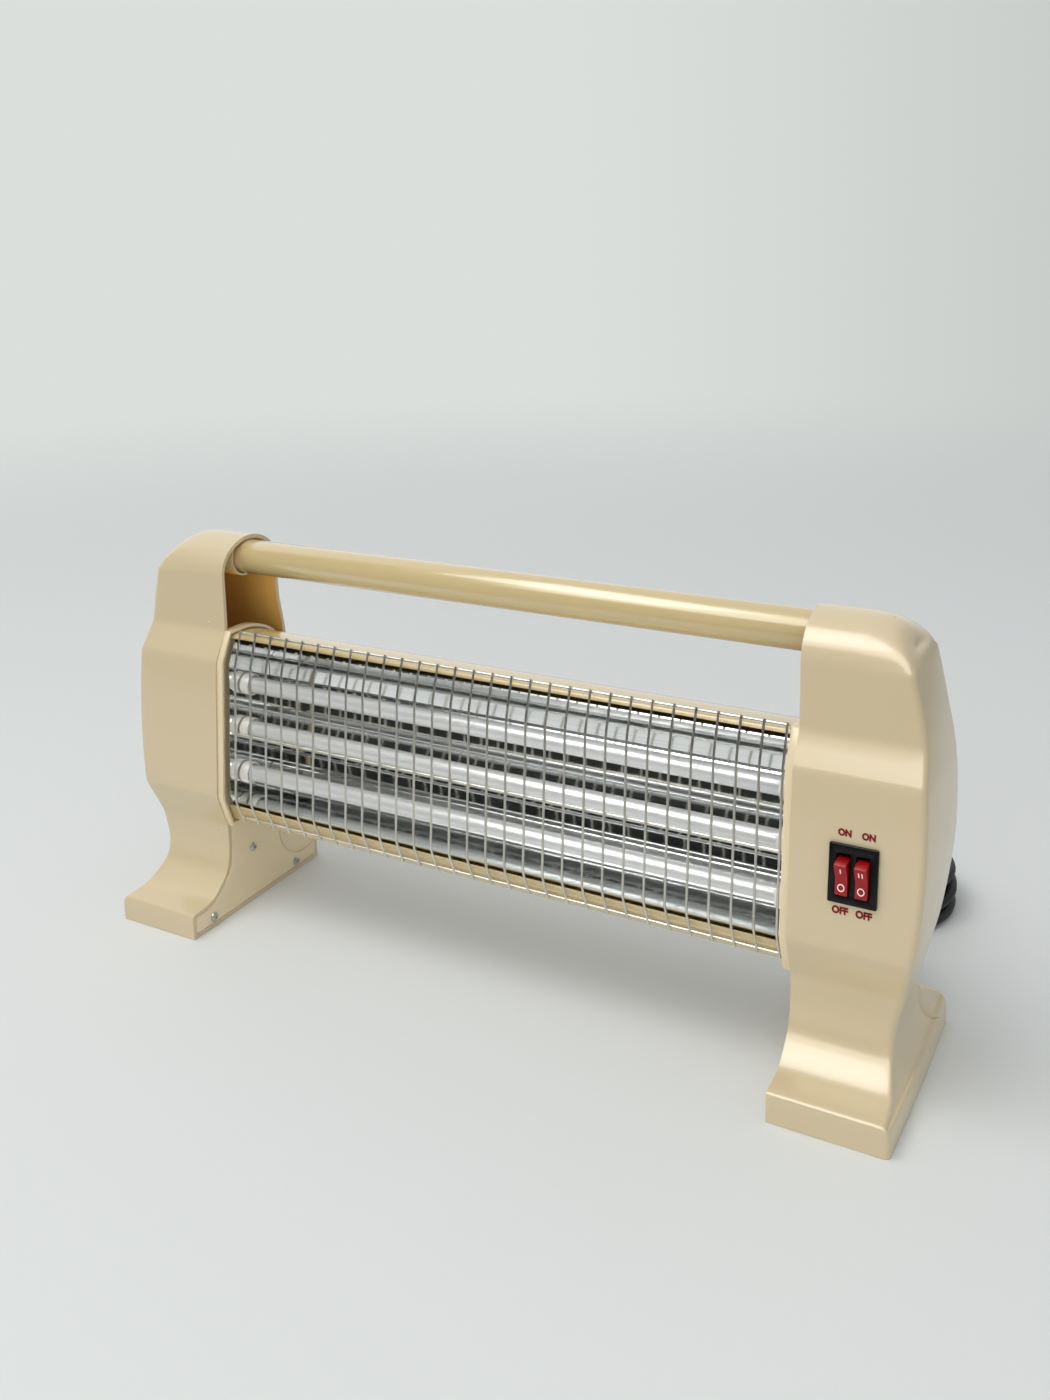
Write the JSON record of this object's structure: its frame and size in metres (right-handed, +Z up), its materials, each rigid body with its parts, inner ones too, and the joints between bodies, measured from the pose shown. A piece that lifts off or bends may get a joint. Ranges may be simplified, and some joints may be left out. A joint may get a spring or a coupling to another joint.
{
  "type": "electric bar heater",
  "caption": "Portable radiant heater: moulded end casings joined by a round handle carry a steel body with reflector, quartz tubes, wire grille, rocker switches and a tied mains cord.",
  "frame": {"origin": "on the floor, at the middle of the heater's own footprint; the free mains cord behind it is not counted", "axes": "+X along the handle to the end with the switch, -Y out of the grille at the front, +Z up"},
  "size_m": [0.5246, 0.3038, 0.2524],
  "materials": {
    "casing": "satin beige moulding",
    "cover": "satin beige moulding",
    "screw_steel": "zinc plated",
    "paint": "semi-gloss beige paint",
    "polished": "bright rolled aluminium",
    "wire": "bright plated wire",
    "quartz": "clear polished",
    "element": "oxidised resistance wire",
    "ceramic": "white glazed ceramic",
    "block": "natural nylon",
    "brass": "plain",
    "black_plastic": "black moulding",
    "red_plastic": "red moulding",
    "lead_sleeve": "woven glass sleeving",
    "rubber": "matt black"
  },
  "bodies": {
    "heater": {"body_housing": "paint", "cord_coil": "rubber", "cord_tail": "rubber", "cord_tie": "black_plastic", "grille": "wire", "handle_tube": "paint", "heater_lead_bottom": "lead_sleeve", "heater_lead_middle": "lead_sleeve", "heater_lead_top": "lead_sleeve", "heating_coil_bottom": "element", "heating_coil_middle": "element", "heating_coil_top": "element", "left_ceramic_cap_bottom": "ceramic", "left_ceramic_cap_middle": "ceramic", "left_ceramic_cap_top": "ceramic", "left_cover_screw_back": "screw_steel", "left_cover_screw_front": "screw_steel", "left_cover_screw_middle": "screw_steel", "left_end_plate": "polished", "left_inner_cover": "cover", "left_link_strip": "brass", "left_outer_shell": "casing", "plug_body": "rubber", "plug_pin_1": "brass", "plug_pin_2": "brass", "power_cord": "rubber", "quartz_tube_bottom": "quartz", "quartz_tube_middle": "quartz", "quartz_tube_top": "quartz", "reflector": "polished", "right_ceramic_cap_bottom": "ceramic", "right_ceramic_cap_middle": "ceramic", "right_ceramic_cap_top": "ceramic", "right_cover_screw_back": "screw_steel", "right_cover_screw_front": "screw_steel", "right_cover_screw_middle": "screw_steel", "right_end_plate": "polished", "right_inner_cover": "cover", "right_outer_shell": "casing", "right_tube_terminal_bottom": "brass", "right_tube_terminal_middle": "brass", "right_tube_terminal_top": "brass", "strain_relief": "rubber", "supply_lead": "rubber", "switch_blade_1": "brass", "switch_blade_2": "brass", "switch_blade_3": "brass", "switch_blade_4": "brass", "switch_frame": "black_plastic", "terminal_block": "block"},
    "rocker_1": {"rocker_1": "red_plastic"},
    "rocker_2": {"rocker_2": "red_plastic"}
  },
  "joints": [
    {"name": "rocker_1_tilt", "type": "hinge", "parent": "heater", "child": "rocker_1", "pos_m": [0.22125, -0.02926, 0.12777], "axis": [-1, 0, 0], "range_deg": [0, 26]},
    {"name": "rocker_2_tilt", "type": "hinge", "parent": "heater", "child": "rocker_2", "pos_m": [0.23135, -0.02926, 0.12777], "axis": [-1, 0, 0], "range_deg": [0, 26]}
  ]
}
